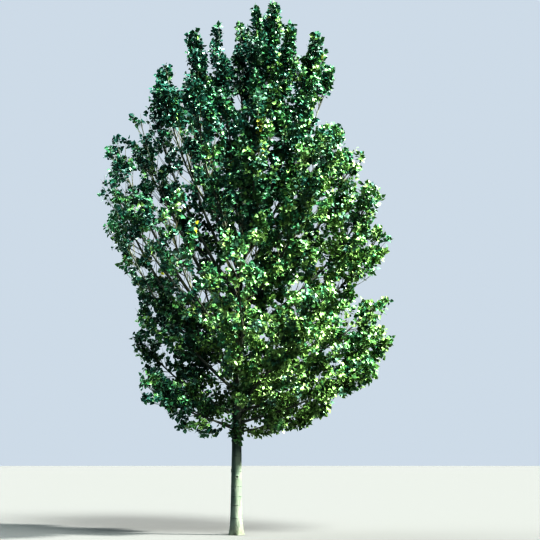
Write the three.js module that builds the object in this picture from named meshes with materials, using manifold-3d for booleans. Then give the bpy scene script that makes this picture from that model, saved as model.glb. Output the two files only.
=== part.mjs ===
// A young hybrid black poplar in summer leaf: the trunk, its main boughs and the masses of foliage on its
// limbs, each a separate solid. Millimetres, +Z up, the flat cut at ground level centred on the origin,
// +X to the right and +Y away from whoever looks at its front.
import * as THREE from "three";
import { mergeVertices } from "three/addons/utils/BufferGeometryUtils.js";
import Module from "manifold-3d";

const wasm = await Module();
wasm.setup();

// Driving dimensions of the trunk
const treeHeight = 12500;
const trunkFootRadius = 132;
const trunkTaperPower = 1.25;
const trunkTipHeight = 10700;
const leanAtTop = 500;
const swayAwayFromFront = 70;
const flareRadius = 46;
const flareHeight = 210;
const flareLobes = 5;
const flareLobeDepth = 0.35;
const trunkSides = 15;
const trunkRings = 15;
const trunkRingBunching = 1.7; // more rings at the foot, where the flare is

// The crown, as two half ellipses above and below its widest height
const crownReach = 3300;
const crownWidestHeight = 6600;
const crownTopHeight = 12350;
const crownBottomHeight = 1750;

// How a limb leaves the trunk and turns up: where the knee of its curve lies, as shares of reach and rise
const kneeOut = 0.68;
const kneeUp = 0.38;
const limbSway = 60;
const limbSwayTurns = 1.3;
const limbPhaseStep = 0.618;
const limbThicknessPerLength = 0.0078;
const limbShareOfTrunk = 0.6;
const limbTipRadius = 8;
const limbTaperPower = 0.85;
const boughSides = 6;
const boughRings = 6;
const stemSides = 4;
const stemRings = 5;
const leaderSpread = 470;
const leaderShortOfTop = 60;
const seam = 0.3;

// Twigs, each with one flat leaf shape on its end that stands for a whole spray of leaves
const goldenAngle = 137.508;
const twigSpacing = 255;
const fewestTwigs = 6;
const twigLeanLow = 60;
const twigLeanHigh = 28;
const twigLiftLow = -0.25;
const twigLiftHigh = 0.25;
const twigLiftFullHeight = 6000; // twigs on lower limbs droop more the lower the limb leaves the trunk
const twigRadius = 8;
const twigTipRadius = 4;
const twigShareOfLimb = 0.7;
const twigShareOfSpread = 0.42;
const twigLengthSpread = 0.9;
const sprayLength = 620;
const tipSprayLength = 420;
const tipTwigLength = 20;
const sprayLengthSpread = 0.3;
const sprayMiddle = 0.26;
const sprayThickness = 0.035;
const spraySizesTried = [1, 0.85, 0.7, 0.6];
const sprayRollsTried = [0, 60, 120];

// Half the outline of a spray from its foot to its tip, forward and sideways, as shares of its length. It is
// the poplar leaf's own: broad at the foot and pointed
const sprayOutline = [
  [0.2, 0.45],
  [1, 0],
];

// Foliage narrows like a flame over the last stretch of its limb, down to a share of its spread
const flameTaper = 1500;
const flameTip = 0.3;
const foliageStart = 0.22; // where foliage begins on a limb with no bare bough, as a share of its length
const measurePoints = 24;

// A mass keeps to its own space: no further from its limb than this share of the spread, nearer to it than
// to any other by this factor, and this far from other masses and limbs
const furthestFromLimb = 1.2;
const clearOfNeighbours = 0.94;
const clearOfLimbs = 12;
const clearRoundSpray = 1.04;
const looseDetail = 1; // a union's vertices nearer than this to a straight edge or flat face are dropped
const sameVertex = 1e-4;
const nearlyUpright = 0.9; // an upward share past which another direction is used to find what is across

const upwards = new THREE.Vector3(0, 0, 1);
const radians = THREE.MathUtils.degToRad;
const barkLook = { color: 0x8f8e7c, roughness: 0.9, metalness: 0 };
const leafLook = { color: 0x35611f, roughness: 0.55, metalness: 0 };

// The limbs that draw the crown's outline, from the lowest on the left, over the top, and down the right.
// from: height where the limb leaves the trunk. azimuth: degrees from +X. reach: from the tree's foot to
// the tip. top: height of the tip. spread: half the width of its foliage. bare: the share of its length
// that is a bare bough, and 0 where the limb is one mass from the trunk on.
const outlineLimbs = [
  { name: "left_skirt", from: 2300, azimuth: 203, reach: 1900, top: 3350, spread: 620, bare: 0 },
  { name: "left_low", from: 2650, azimuth: 172, reach: 2330, top: 4500, spread: 700, bare: 0 },
  { name: "left_side", from: 3150, azimuth: 197, reach: 2820, top: 7000, spread: 680, bare: 0.38 },
  { name: "left_far", from: 3650, azimuth: 171, reach: 3080, top: 8250, spread: 660, bare: 0.38 },
  { name: "left_shoulder", from: 4200, azimuth: 193, reach: 2850, top: 8800, spread: 600, bare: 0.38 },
  { name: "left_arm", from: 4800, azimuth: 163, reach: 2530, top: 9850, spread: 590, bare: 0.38 },
  { name: "left_high", from: 5300, azimuth: 188, reach: 2150, top: 10350, spread: 560, bare: 0.38 },
  { name: "left_spire", from: 5650, azimuth: 206, reach: 1900, top: 10850, spread: 520, bare: 0.36 },
  { name: "upper_left", from: 6120, azimuth: 166, reach: 1120, top: 11900, spread: 500, bare: 0 },
  { name: "top_left", from: 6900, azimuth: 236, reach: 800, top: 11650, spread: 480, bare: 0 },
  { name: "top_back", from: 7500, azimuth: 88, reach: 950, top: 12350, spread: 480, bare: 0 },
  { name: "top_front", from: 7900, azimuth: -38, reach: 1130, top: 12480, spread: 470, bare: 0 },
  { name: "top_right", from: 7100, azimuth: 24, reach: 1400, top: 12150, spread: 500, bare: 0 },
  { name: "upper_right", from: 6500, azimuth: -24, reach: 1980, top: 11250, spread: 560, bare: 0 },
  { name: "right_spire", from: 6150, azimuth: 18, reach: 2330, top: 11200, spread: 580, bare: 0.38 },
  { name: "right_high", from: 5650, azimuth: -22, reach: 2500, top: 9250, spread: 620, bare: 0.33 },
  { name: "right_arm", from: 5000, azimuth: 7, reach: 2780, top: 8800, spread: 660, bare: 0.33 },
  { name: "right_shoulder", from: 4400, azimuth: -14, reach: 3160, top: 7550, spread: 700, bare: 0.33 },
  { name: "right_far", from: 3850, azimuth: 12, reach: 3350, top: 6850, spread: 720, bare: 0.33 },
  { name: "right_side", from: 3150, azimuth: -8, reach: 3280, top: 5250, spread: 720, bare: 0.33 },
  { name: "right_low", from: 2700, azimuth: 14, reach: 3380, top: 4450, spread: 700, bare: 0.33 },
  { name: "right_skirt", from: 2450, azimuth: -16, reach: 2950, top: 3650, spread: 640, bare: 0 },
  { name: "right_hem", from: 2250, azimuth: 20, reach: 1900, top: 2850, spread: 520, bare: 0 },
];

// The limbs that fill the crown towards the front and the back follow one rule: they take turns between
// the two sides, fan out left and right of straight ahead, and end on the crown's surface.
const fillLimbCount = 18;
const fillFirstHeight = 2350;
const fillHeightStep = 250;
const fillRiseLow = 1000;
const fillRiseHigh = 4000;
const fillFan = 118;
const fillFanStep = 0.382;
const fillSpreadLow = 760;
const fillSpreadHigh = 520;
const fillFirstBough = 7;
const fillBoughCount = 4;
const fillBare = 0.33;

// Numbers from 0 to 1 that come out the same for the same seed
function seeded(seed) {
  let state = Math.imul(seed + 1, 2654435761) >>> 0;
  return () => {
    state = (Math.imul(state, 1664525) + 1013904223) >>> 0;
    return state / 4294967296;
  };
}

function crownReachAt(height) {
  const end = height > crownWidestHeight ? crownTopHeight : crownBottomHeight;
  const share = Math.min(1, (height - crownWidestHeight) / (end - crownWidestHeight));
  return crownReach * Math.sqrt(1 - share * share);
}

function fillLimbs() {
  const limbs = [];
  for (let k = 0; k < fillLimbCount; k++) {
    const climb = k / (fillLimbCount - 1);
    const from = fillFirstHeight + k * fillHeightStep;
    const top = from + THREE.MathUtils.lerp(fillRiseLow, fillRiseHigh, Math.sqrt(climb));
    const fan = (((k * fillFanStep) % 1) - 0.5) * fillFan;
    const hasBough = k >= fillFirstBough && k < fillFirstBough + fillBoughCount;
    limbs.push({
      name: (k % 2 ? "back_" : "front_") + (Math.floor(k / 2) + 1),
      from,
      azimuth: (k % 2 ? 90 : -90) + fan,
      reach: crownReachAt(top),
      top,
      spread: THREE.MathUtils.lerp(fillSpreadLow, fillSpreadHigh, climb),
      bare: hasBough ? fillBare : 0,
    });
  }
  return limbs;
}

// The trunk's centre line leans a little, more towards the top
function trunkAxis(height) {
  const share = height / treeHeight;
  return new THREE.Vector3(leanAtTop * share ** 3, swayAwayFromFront * Math.sin(Math.PI * share), height);
}

function trunkRadius(height) {
  return trunkFootRadius * (1 - height / treeHeight) ** trunkTaperPower;
}

// A limb's centre line: a quadratic curve out from the trunk and up to the tip, with a slight sideways sway
function limbPoint(limb, share) {
  const { root, knee, tip, side } = limb;
  const rest = 1 - share;
  const sway = limbSway * 4 * share * rest * Math.sin(2 * Math.PI * (limbSwayTurns * share + limb.phase));
  return new THREE.Vector3()
    .addScaledVector(root, rest * rest)
    .addScaledVector(knee, 2 * rest * share)
    .addScaledVector(tip, share * share)
    .addScaledVector(side, sway);
}

function limbDirection(limb, share) {
  const step = 0.01;
  return limbPoint(limb, share + step).sub(limbPoint(limb, share - step)).normalize();
}

function limbRadius(limb, share) {
  const thick = Math.min(limb.length * limbThicknessPerLength, trunkRadius(limb.root.z) * limbShareOfTrunk);
  return limbTipRadius + (thick - limbTipRadius) * (1 - share) ** limbTaperPower;
}

function placeLimb(row, index) {
  const turn = radians(row.azimuth);
  const root = trunkAxis(row.from);
  const tip = new THREE.Vector3(Math.cos(turn) * row.reach, Math.sin(turn) * row.reach, row.top);
  const knee = new THREE.Vector3(
    THREE.MathUtils.lerp(root.x, tip.x, kneeOut),
    THREE.MathUtils.lerp(root.y, tip.y, kneeOut),
    THREE.MathUtils.lerp(root.z, tip.z, kneeUp),
  );
  const side = new THREE.Vector3(-Math.sin(turn), Math.cos(turn), 0);
  const limb = { ...row, index, root, knee, tip, side, phase: (index * limbPhaseStep) % 1 };
  // A curve is about as long as the mean of its chord and its two legs
  limb.length = (root.distanceTo(knee) + knee.distanceTo(tip) + root.distanceTo(tip)) / 2;
  return limb;
}

// The leader grows straight on from the trunk's tip
function leaderLimb(index) {
  const root = trunkAxis(trunkTipHeight);
  const tip = new THREE.Vector3(leanAtTop, 0, treeHeight - leaderShortOfTop);
  const knee = trunkAxis((trunkTipHeight + treeHeight) / 2);
  const side = new THREE.Vector3(0, 1, 0);
  const row = { name: "leader", azimuth: 0, spread: leaderSpread, bare: 0, onTrunkTip: true };
  return { ...row, index, root, knee, tip, side, phase: 0, length: root.distanceTo(tip) };
}

const limbs = [...outlineLimbs, ...fillLimbs()].map(placeLimb);
limbs.push(leaderLimb(limbs.length));

// A closed solid from a mesh whose faces point out
function solid(geometry) {
  geometry.deleteAttribute("normal");
  geometry.deleteAttribute("uv");
  const merged = mergeVertices(geometry, sameVertex);
  return new wasm.Manifold(
    new wasm.Mesh({
      numProp: 3,
      vertProperties: merged.attributes.position.array,
      triVerts: new Uint32Array(merged.index.array),
    }),
  );
}

// A tube with flat ends through rings, each with a centre and the way the tube runs there. The radius may
// depend on the ring and on the angle round it
function tube(rings, radiusAt, sides) {
  const positions = [];
  const index = [];
  let across = null;
  rings.forEach(({ centre, along }, i) => {
    across ??= Math.abs(along.z) > nearlyUpright ? new THREE.Vector3(1, 0, 0) : upwards.clone();
    across.addScaledVector(along, -across.dot(along)).normalize();
    const over = along.clone().cross(across);
    for (let k = 0; k < sides; k++) {
      const angle = (2 * Math.PI * k) / sides;
      const radius = radiusAt(i, angle);
      const point = centre
        .clone()
        .addScaledVector(across, radius * Math.cos(angle))
        .addScaledVector(over, radius * Math.sin(angle));
      positions.push(point.x, point.y, point.z);
    }
  });
  for (let i = 0; i + 1 < rings.length; i++) {
    for (let k = 0; k < sides; k++) {
      const a = i * sides + k;
      const b = i * sides + ((k + 1) % sides);
      index.push(a, b, b + sides, a, b + sides, a + sides);
    }
  }
  const last = (rings.length - 1) * sides;
  for (let k = 1; k + 1 < sides; k++) {
    index.push(0, k + 1, k, last, last + k, last + k + 1);
  }
  const geometry = new THREE.BufferGeometry();
  geometry.setAttribute("position", new THREE.Float32BufferAttribute(positions, 3));
  geometry.setIndex(index);
  return geometry;
}

function trunkGeometry(grow = 0) {
  const rings = [];
  for (let i = 0; i <= trunkRings; i++) {
    const height = trunkTipHeight * (i / trunkRings) ** trunkRingBunching;
    rings.push({ centre: trunkAxis(height), along: upwards });
  }
  return tube(
    rings,
    (i, angle) => {
      const height = rings[i].centre.z;
      const lobe = 1 + flareLobeDepth * Math.cos(flareLobes * angle);
      return trunkRadius(height) + flareRadius * lobe * Math.exp(-height / flareHeight) + grow;
    },
    trunkSides,
  );
}

// The stretch of a limb's tube between two shares of its length, started a seam's width late
function limbStretch(limb, start, end, ringCount, sides, late) {
  const rings = [];
  for (let i = 0; i <= ringCount; i++) {
    const share = THREE.MathUtils.lerp(start, end, i / ringCount);
    rings.push({ share, centre: limbPoint(limb, share), along: limbDirection(limb, share) });
  }
  rings[0].centre.addScaledVector(rings[0].along, late);
  return tube(rings, (i) => limbRadius(limb, rings[i].share), sides);
}

// Half the width of a limb's foliage: it narrows like a flame towards the tip
function spreadAt(limb, share) {
  const below = (1 - share) * limb.length;
  const rise = Math.min(1, below / flameTaper);
  return limb.spread * THREE.MathUtils.lerp(flameTip, 1, Math.sqrt(rise * (2 - rise)));
}

// The stem ends where the last spray starts, and the stretch that carries foliage is kept as points to
// measure a distance from
for (const limb of limbs) {
  const start = limb.onTrunkTip ? 0 : Math.max(limb.bare, foliageStart);
  limb.leafyFrom = start;
  limb.stemEnd = 1 - tipSprayLength / limb.length;
  limb.line = [];
  for (let i = 0; i <= measurePoints; i++) {
    const share = THREE.MathUtils.lerp(start, 1, i / measurePoints);
    limb.line.push({ point: limbPoint(limb, share), spread: spreadAt(limb, share) });
  }
}

function closeness(limb, point) {
  let best = Infinity;
  for (const spot of limb.line) best = Math.min(best, spot.point.distanceTo(point) / spot.spread);
  return best;
}

// A point is in a limb's own space if no other limb's foliage has a better claim to it
function inOwnSpace(limb, point) {
  const own = closeness(limb, point);
  if (own > furthestFromLimb) return false;
  return limbs.every((other) => other === limb || own < closeness(other, point) * clearOfNeighbours);
}

// A three-sided twig whose end opens out into a flat spray with a raised middle on both faces. The points
// on the spray's rim are also returned
function sprigGeometry(foot, along, face, radii, twigLength, length) {
  const across = face.clone().cross(along);
  const at = (forward, sideways, off) =>
    foot.clone().addScaledVector(along, forward).addScaledVector(across, sideways).addScaledVector(face, off);
  const ring = (forward, radius) =>
    [30, 150, 270].map(radians).map((turn) => at(forward, radius * Math.cos(turn), radius * Math.sin(turn)));
  const onRim = (side) => (spot) => at(twigLength + spot[0] * length, side * spot[1] * length, 0);
  const rightSide = sprayOutline.map(onRim(1));
  const leftSide = sprayOutline.slice(0, -1).map(onRim(-1)).reverse();
  const outline = [...rightSide, ...leftSide];
  const thick = (length * sprayThickness) / 2;
  const middles = [thick, -thick].map((off) => at(twigLength + sprayMiddle * length, 0, off));
  const points = [...ring(0, radii[0]), ...ring(twigLength, radii[1]), ...outline, ...middles];
  const [right, left, keel] = [3, 4, 5]; // the ring at the twig's end
  const top = points.length - 2;
  const bottom = points.length - 1;
  const closedFoot = [1, 0, 2];
  const twigSides = [4, 3, 0, 4, 0, 1, 3, 5, 2, 3, 2, 0, 5, 4, 1, 5, 1, 2];
  const index = [...closedFoot, ...twigSides, right, left, top, left, keel, bottom, keel, right, bottom];
  const rim = [right, ...outline.map((_, i) => keel + 1 + i), left];
  for (let i = 0; i + 1 < rim.length; i++) {
    index.push(rim[i + 1], rim[i], top, rim[i], rim[i + 1], bottom);
  }
  const geometry = new THREE.BufferGeometry();
  geometry.setAttribute("position", new THREE.Float32BufferAttribute(points.flatMap((p) => p.toArray()), 3));
  geometry.setIndex(index);
  return { geometry, outline };
}

// Every solid made so far, with its box, so that a new sprig can be tested against its neighbours
const placed = [];

function boxOf(geometry) {
  geometry.computeBoundingBox();
  return geometry.boundingBox.clone().expandByScalar(clearOfLimbs);
}

function touches(geometry, owner) {
  const box = boxOf(geometry);
  const near = placed.filter((other) => other.owner !== owner && other.box.intersectsBox(box));
  if (!near.length) return false;
  const piece = solid(geometry.clone());
  return near.some((other) => !other.solid.intersect(piece).isEmpty());
}

function place(geometry, owner) {
  placed.push({ owner, box: boxOf(geometry), solid: solid(geometry.clone()) });
}

function anyAcross(along) {
  const other = Math.abs(along.z) < nearlyUpright ? upwards : new THREE.Vector3(1, 0, 0);
  return along.clone().cross(other).normalize();
}

// A sprig whose spray leaves the mass's space or touches something is turned or made smaller, or left out
function addSprig(mass, share, foot, along, twigLength, length, roll) {
  const footRadius = Math.min(twigRadius, limbRadius(mass.limb, share) * twigShareOfLimb);
  const radii = [footRadius, Math.min(footRadius, twigTipRadius)];
  const wideRadii = radii.map((radius) => radius + clearOfLimbs);
  for (const size of spraySizesTried) {
    for (const turn of sprayRollsTried) {
      const face = anyAcross(along).applyAxisAngle(along, roll + radians(turn));
      const { geometry, outline } = sprigGeometry(foot, along, face, radii, twigLength * size, length * size);
      if (!outline.every((point) => inOwnSpace(mass.limb, point))) continue;
      const wideLength = length * size * clearRoundSpray;
      const wide = sprigGeometry(foot, along, face, wideRadii, twigLength * size, wideLength).geometry;
      if (touches(wide, mass.limb.name)) continue;
      mass.parts.push(geometry);
      place(wide, mass.limb.name);
      return;
    }
  }
}

// A mass of foliage: the limb's stem, with sprigs set round it by the golden angle and one on its end
function growMass(limb) {
  const draw = seeded(limb.index);
  const climb = Math.min(1, limb.root.z / twigLiftFullHeight);
  const lift = THREE.MathUtils.lerp(twigLiftLow, twigLiftHigh, climb);
  const varied = (amount) => 1 + amount * (draw() - 0.5);
  const start = limb.bare || 0;
  const late = limb.bare || limb.onTrunkTip ? seam : 0;
  const mass = { limb, parts: [limbStretch(limb, start, limb.stemEnd, stemRings, stemSides, late)] };
  const leafyLength = limb.length * (limb.stemEnd - limb.leafyFrom);
  const count = Math.max(fewestTwigs, Math.round(leafyLength / twigSpacing));
  const endDirection = limbDirection(limb, limb.stemEnd);
  const end = limbPoint(limb, limb.stemEnd).addScaledVector(endDirection, -tipTwigLength / 2);
  const toTip = limb.tip.clone().sub(end);
  const tipSpray = toTip.length() - tipTwigLength;
  addSprig(mass, limb.stemEnd, end, toTip.normalize(), tipTwigLength, tipSpray, 2 * Math.PI * draw());
  for (let k = 0; k < count; k++) {
    const share = THREE.MathUtils.lerp(limb.leafyFrom, limb.stemEnd, (k + 0.5) / count);
    const foot = limbPoint(limb, share);
    const along = limbDirection(limb, share);
    const around = radians(goldenAngle * k + 360 * limb.phase);
    const radial = anyAcross(along).applyAxisAngle(along, around);
    const lean = radians(THREE.MathUtils.lerp(twigLeanLow, twigLeanHigh, k / count));
    const twigAlong = along
      .clone()
      .multiplyScalar(Math.cos(lean))
      .addScaledVector(radial, Math.sin(lean))
      .addScaledVector(upwards, lift)
      .normalize();
    const twigReach = spreadAt(limb, share) * twigShareOfSpread * varied(twigLengthSpread);
    const twigLength = twigReach / Math.sin(lean);
    const length = sprayLength * varied(sprayLengthSpread);
    addSprig(mass, share, foot, twigAlong, twigLength, length, 2 * Math.PI * draw());
  }
  return mass;
}

const trunkSpace = solid(trunkGeometry(seam));

// A solid cut clear of the trunk, without the loose scraps that cutting leaves
function cutClearOfTrunk(made) {
  return made.subtract(trunkSpace).decompose().sort((a, b) => b.volume() - a.volume())[0];
}

function geometryOf(made) {
  const mesh = made.getMesh();
  const geometry = new THREE.BufferGeometry();
  geometry.setAttribute("position", new THREE.BufferAttribute(new Float32Array(mesh.vertProperties), 3));
  geometry.setIndex(new THREE.BufferAttribute(new Uint32Array(mesh.triVerts), 1));
  const flat = geometry.toNonIndexed();
  flat.computeVertexNormals();
  return flat;
}

const tree = new THREE.Group();

function addMesh(name, geometry, look) {
  const mesh = new THREE.Mesh(geometry, new THREE.MeshStandardMaterial(look));
  mesh.name = name;
  tree.add(mesh);
}

addMesh("trunk", trunkGeometry(), barkLook);
placed.push({ owner: "trunk", box: boxOf(trunkGeometry()), solid: trunkSpace });

for (const limb of limbs.filter((one) => one.bare > 0)) {
  const whole = limbStretch(limb, 0, limb.bare, boughRings, boughSides, 0);
  place(whole, limb.name);
  addMesh(limb.name + "_bough", geometryOf(cutClearOfTrunk(solid(whole))), barkLook);
}
for (const limb of limbs) {
  place(limbStretch(limb, limb.bare || 0, limb.stemEnd, stemRings, stemSides, 0), limb.name);
}
for (const limb of limbs) {
  const fused = wasm.Manifold.union(growMass(limb).parts.map(solid)).asOriginal().simplify(looseDetail);
  addMesh(limb.name + "_foliage", geometryOf(cutClearOfTrunk(fused)), leafLook);
}

export default tree;
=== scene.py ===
# %% [markdown]
# # A young hybrid poplar, dressed round its frame
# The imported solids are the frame: a trunk, seventeen boughs and forty-two masses of foliage. The rule
# that made them is carried on here to finer twigs, so what is seen stays close to the solids.

import math

import bpy
import numpy as np
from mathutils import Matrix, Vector, noise


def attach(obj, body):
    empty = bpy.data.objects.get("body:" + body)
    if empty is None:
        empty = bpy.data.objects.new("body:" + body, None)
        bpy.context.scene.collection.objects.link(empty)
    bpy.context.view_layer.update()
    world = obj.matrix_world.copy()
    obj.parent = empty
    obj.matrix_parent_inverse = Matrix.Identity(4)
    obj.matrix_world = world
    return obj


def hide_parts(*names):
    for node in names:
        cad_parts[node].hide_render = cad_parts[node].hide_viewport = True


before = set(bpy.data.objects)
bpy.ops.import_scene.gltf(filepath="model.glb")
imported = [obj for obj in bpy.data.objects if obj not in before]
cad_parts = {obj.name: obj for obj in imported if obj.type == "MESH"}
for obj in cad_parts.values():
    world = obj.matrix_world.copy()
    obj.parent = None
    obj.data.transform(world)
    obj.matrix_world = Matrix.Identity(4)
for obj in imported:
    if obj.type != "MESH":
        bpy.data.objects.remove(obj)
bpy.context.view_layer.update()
foliage_nodes = sorted(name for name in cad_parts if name.endswith("_foliage"))
bough_nodes = sorted(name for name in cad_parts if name.endswith("_bough"))
print("frame:", len(foliage_nodes), "masses of foliage and", len(bough_nodes), "boughs")

# %% [markdown]
# ## The camera
# The photograph was taken at eye height from some 25 m away, tilted up so that the whole tree is in view.
# The lens follows from the focal length in pixels that fits the horizon and the tree's height.

# %% Camera
FRAME_PIXELS = 540
FOCAL_PIXELS = 1100
SENSOR_WIDTH = 36
CAMERA_PLACE = (0.75, -25.0, 1.6)
CAMERA_TILT = 9.88
SEEN_UP_TO = 1000


def new_object(name, data):
    made = bpy.data.objects.new(name, data)
    bpy.context.scene.collection.objects.link(made)
    return made


camera = new_object("camera", bpy.data.cameras.new("camera"))
camera.data.sensor_width = SENSOR_WIDTH
camera.data.lens = SENSOR_WIDTH * FOCAL_PIXELS / FRAME_PIXELS
camera.data.clip_end = SEEN_UP_TO
camera.location = CAMERA_PLACE
camera.rotation_euler = (math.radians(90 + CAMERA_TILT), 0, 0)
bpy.context.scene.camera = camera
print("lens:", round(camera.data.lens, 1), "mm")

# %% [markdown]
# ## Arithmetic on sockets
# A bark is a sum and product of patterns. One small class lets Python's operators add the Math nodes, and
# one method adds any other node.


# %% Node helpers
class Graph:
    """A node tree that is being filled."""

    def __init__(self, tree):
        self.tree = tree

    def feed(self, socket, value):
        source = value.socket if isinstance(value, Pattern) else value
        if isinstance(source, bpy.types.NodeSocket):
            self.tree.links.new(source, socket)
        else:
            socket.default_value = source

    def add(self, kind, sockets=None, output=0, **settings):
        """A node of one type: first its settings, then its sockets by name or number. Gives one output."""
        node = self.tree.nodes.new(kind)
        for name, value in settings.items():
            setattr(node, name, value)
        for name, value in (sockets or {}).items():
            self.feed(node.inputs[name], value)
        return Pattern(self, node.outputs[output])

    def read(self, name, kind="FLOAT"):
        """A named attribute of the points."""
        return self.add("GeometryNodeInputNamedAttribute", {"Name": name}, data_type=kind)


class Pattern:
    """A socket that takes part in arithmetic."""

    def __init__(self, graph, socket):
        self.graph = graph
        self.socket = socket

    def maths(self, operation, first, second):
        return self.graph.add("ShaderNodeMath", {0: first, 1: second}, operation=operation)

    def __add__(self, other):
        return self.maths("ADD", self, other)

    def __rsub__(self, other):
        return self.maths("SUBTRACT", other, self)

    def __mul__(self, other):
        return self.maths("MULTIPLY", self, other)

    __radd__ = __add__
    __rmul__ = __mul__

    def between(self, low, high):
        """0 below low, 1 above high and a smooth rise from one to the other."""
        sockets = {"Value": self, "From Min": low, "From Max": high}
        return self.graph.add("ShaderNodeMapRange", sockets, interpolation_type="SMOOTHSTEP")


def blend(graph, mask, under, over):
    """The colour under where the mask is 0, and over where it is 1."""
    return graph.add("ShaderNodeMix", {0: mask, 6: under, 7: over}, output=2, data_type="RGBA")


def finish_named(name, **constants):
    """A new material and its graph, with numbers that hold all over the surface."""
    material = bpy.data.materials.new(name)
    material.use_nodes = True
    for socket, value in constants.items():
        material.node_tree.nodes["Principled BSDF"].inputs[socket.replace("_", " ")].default_value = value
    return material, Graph(material.node_tree)


# %% [markdown]
# ## Light and floor
# In the photograph the sun stands to the right, so the right of the crown is bright and the left deep
# green. The key lamp is that sun. A wider, weaker lamp high in front is the open sky, and a third lights
# the far side. The world lights in a dim blue but looks paler to the camera. The photograph is strongly
# contrasted, so the view is too, and all base colours were chosen under that view. The floor is no part
# of the tree.

# %% Lights, world and floor
# name, azimuth, height, strength, angle across, colour
LAMPS = (
    ("key_lamp", -11, 32, 13.2, 4, (1.0, 0.98, 0.93)),
    ("fill_lamp", -60, 48, 7.0, 24, (0.95, 1.0, 0.96)),
    ("back_lamp", 150, 42, 3.2, 60, (0.95, 1.0, 0.96)),
)
BACKDROP = (0.43, 0.47, 0.51, 1)
FILL_LIGHT = (0.17, 0.26, 0.38, 1)
FLOOR_COLOUR = (0.115, 0.115, 0.112, 1)
FLOOR_RADIUS = 400
FLOOR_SIDES = 64
VIEW_LOOK = "Very High Contrast"
VIEW_GAMMA = 0.86


def direction(azimuth, height):
    """The unit vector towards a compass point and a height above the horizon, both in degrees."""
    turn = math.radians(azimuth)
    rise = math.radians(height)
    return Vector((math.cos(turn) * math.cos(rise), math.sin(turn) * math.cos(rise), math.sin(rise)))


for name, azimuth, height, strength, angle, colour in LAMPS:
    lamp = new_object(name, bpy.data.lights.new(name, "SUN"))
    lamp.data.energy = strength
    lamp.data.angle = math.radians(angle)
    lamp.data.color = colour
    lamp.rotation_euler = direction(azimuth, height).to_track_quat("Z", "Y").to_euler()

world = bpy.data.worlds.new("pale_studio")
world.use_nodes = True
sky = Graph(world.node_tree)
seen = sky.add("ShaderNodeLightPath", output="Is Camera Ray")
sky.feed(world.node_tree.nodes["Background"].inputs["Color"], blend(sky, seen, FILL_LIGHT, BACKDROP))
bpy.context.scene.world = world
view = bpy.context.scene.view_settings
view.view_transform = "Standard"
view.look = VIEW_LOOK
view.gamma = VIEW_GAMMA


def mesh_object(name, points, faces):
    """A new object at the origin with its place in its mesh."""
    mesh = bpy.data.meshes.new(name)
    mesh.from_pydata([tuple(point) for point in points], [], faces)
    mesh.update()
    return new_object(name, mesh)


def put_on_points(mesh, name, values, kind="FLOAT", field="value"):
    """A named attribute with a value for each point."""
    mesh.attributes.new(name, kind, "POINT").data.foreach_set(field, np.ravel(values))


turns = np.linspace(0, math.tau, FLOOR_SIDES, False)
rim = [(FLOOR_RADIUS * math.cos(turn), FLOOR_RADIUS * math.sin(turn), 0) for turn in turns]
floor = mesh_object("floor", rim, [list(range(len(rim)))])
matt = {"Roughness": 1.0, "Specular_IOR_Level": 0.0}
floor_paint, _ = finish_named("plain_floor", Base_Color=FLOOR_COLOUR, **matt)
floor.data.materials.append(floor_paint)

# %% [markdown]
# ## The rule of the trunk
# A young poplar has one stem to its very top. It leans a little and tapers faster than a cone, and five
# root buttresses swell its foot. These are the numbers of the solid, in metres.

# %% Trunk rule
TREE_HEIGHT = 12.5
TRUNK_FOOT_RADIUS = 0.132
TRUNK_TAPER_POWER = 1.25
TRUNK_TIP_HEIGHT = 10.7
LEAN_AT_TOP = 0.5
SWAY_AWAY_FROM_FRONT = 0.07
FLARE_RADIUS = 0.046
FLARE_HEIGHT = 0.21
FLARE_LOBES = 5
FLARE_LOBE_DEPTH = 0.35


def lerp(low, high, share):
    return low + (high - low) * share


def trunk_axis(height):
    share = height / TREE_HEIGHT
    return np.array((LEAN_AT_TOP * share**3, SWAY_AWAY_FROM_FRONT * math.sin(math.pi * share), height))


def trunk_radius(height):
    return TRUNK_FOOT_RADIUS * (1 - height / TREE_HEIGHT) ** TRUNK_TAPER_POWER


def trunk_surface(height, angle):
    """The radius of the smooth trunk at one height and angle, with its root flare."""
    lobe = 1 + FLARE_LOBE_DEPTH * math.cos(FLARE_LOBES * angle)
    return trunk_radius(height) + FLARE_RADIUS * lobe * math.exp(-height / FLARE_HEIGHT)


print("trunk:", round(2 * trunk_radius(1.3), 3), "m thick at 1.3 m")

# %% [markdown]
# ## The rule of the limbs
# Limbs leave the trunk at a wide angle and then turn steeply up. Twenty-three draw the outline that the
# photograph shows, eighteen fill the crown to the front and the back, and the leader goes on from the
# trunk's tip. The last number in each row is how thickly its twigs are set: the left of the real crown is
# open. The scene departs from the solids in three ways. Nine limbs end a little short, as their leaves
# would pass the photograph's outline. The outline's limbs carry wider foliage to the front and the back.
# And the trunk between the lower limbs carries twigs of its own, as one more limb, the heart.

# %% Limb rule
CROWN_REACH = 3.3
CROWN_WIDEST_HEIGHT = 6.6
CROWN_TOP_HEIGHT = 12.35
CROWN_BOTTOM_HEIGHT = 1.75
KNEE_OUT = 0.68
KNEE_UP = 0.38
LIMB_SWAY = 0.06
LIMB_SWAY_TURNS = 1.3
LIMB_PHASE_STEP = 0.618
LIMB_THICKNESS_PER_LENGTH = 0.0078
LIMB_SHARE_OF_TRUNK = 0.6
LIMB_TIP_RADIUS = 0.008
LIMB_TAPER_POWER = 0.85
FOLIAGE_START = 0.22
INNER_FROM_FULL = 0.07
INNER_FROM_OPEN = 0.30
OPEN_ABOVE = 4.0
FLAME_TAPER = 3.0
FLAME_TIP = (0.2, 0.5)
FILL_TIP = 0.85
OUTLINE_DEPTH = 1.7
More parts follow.
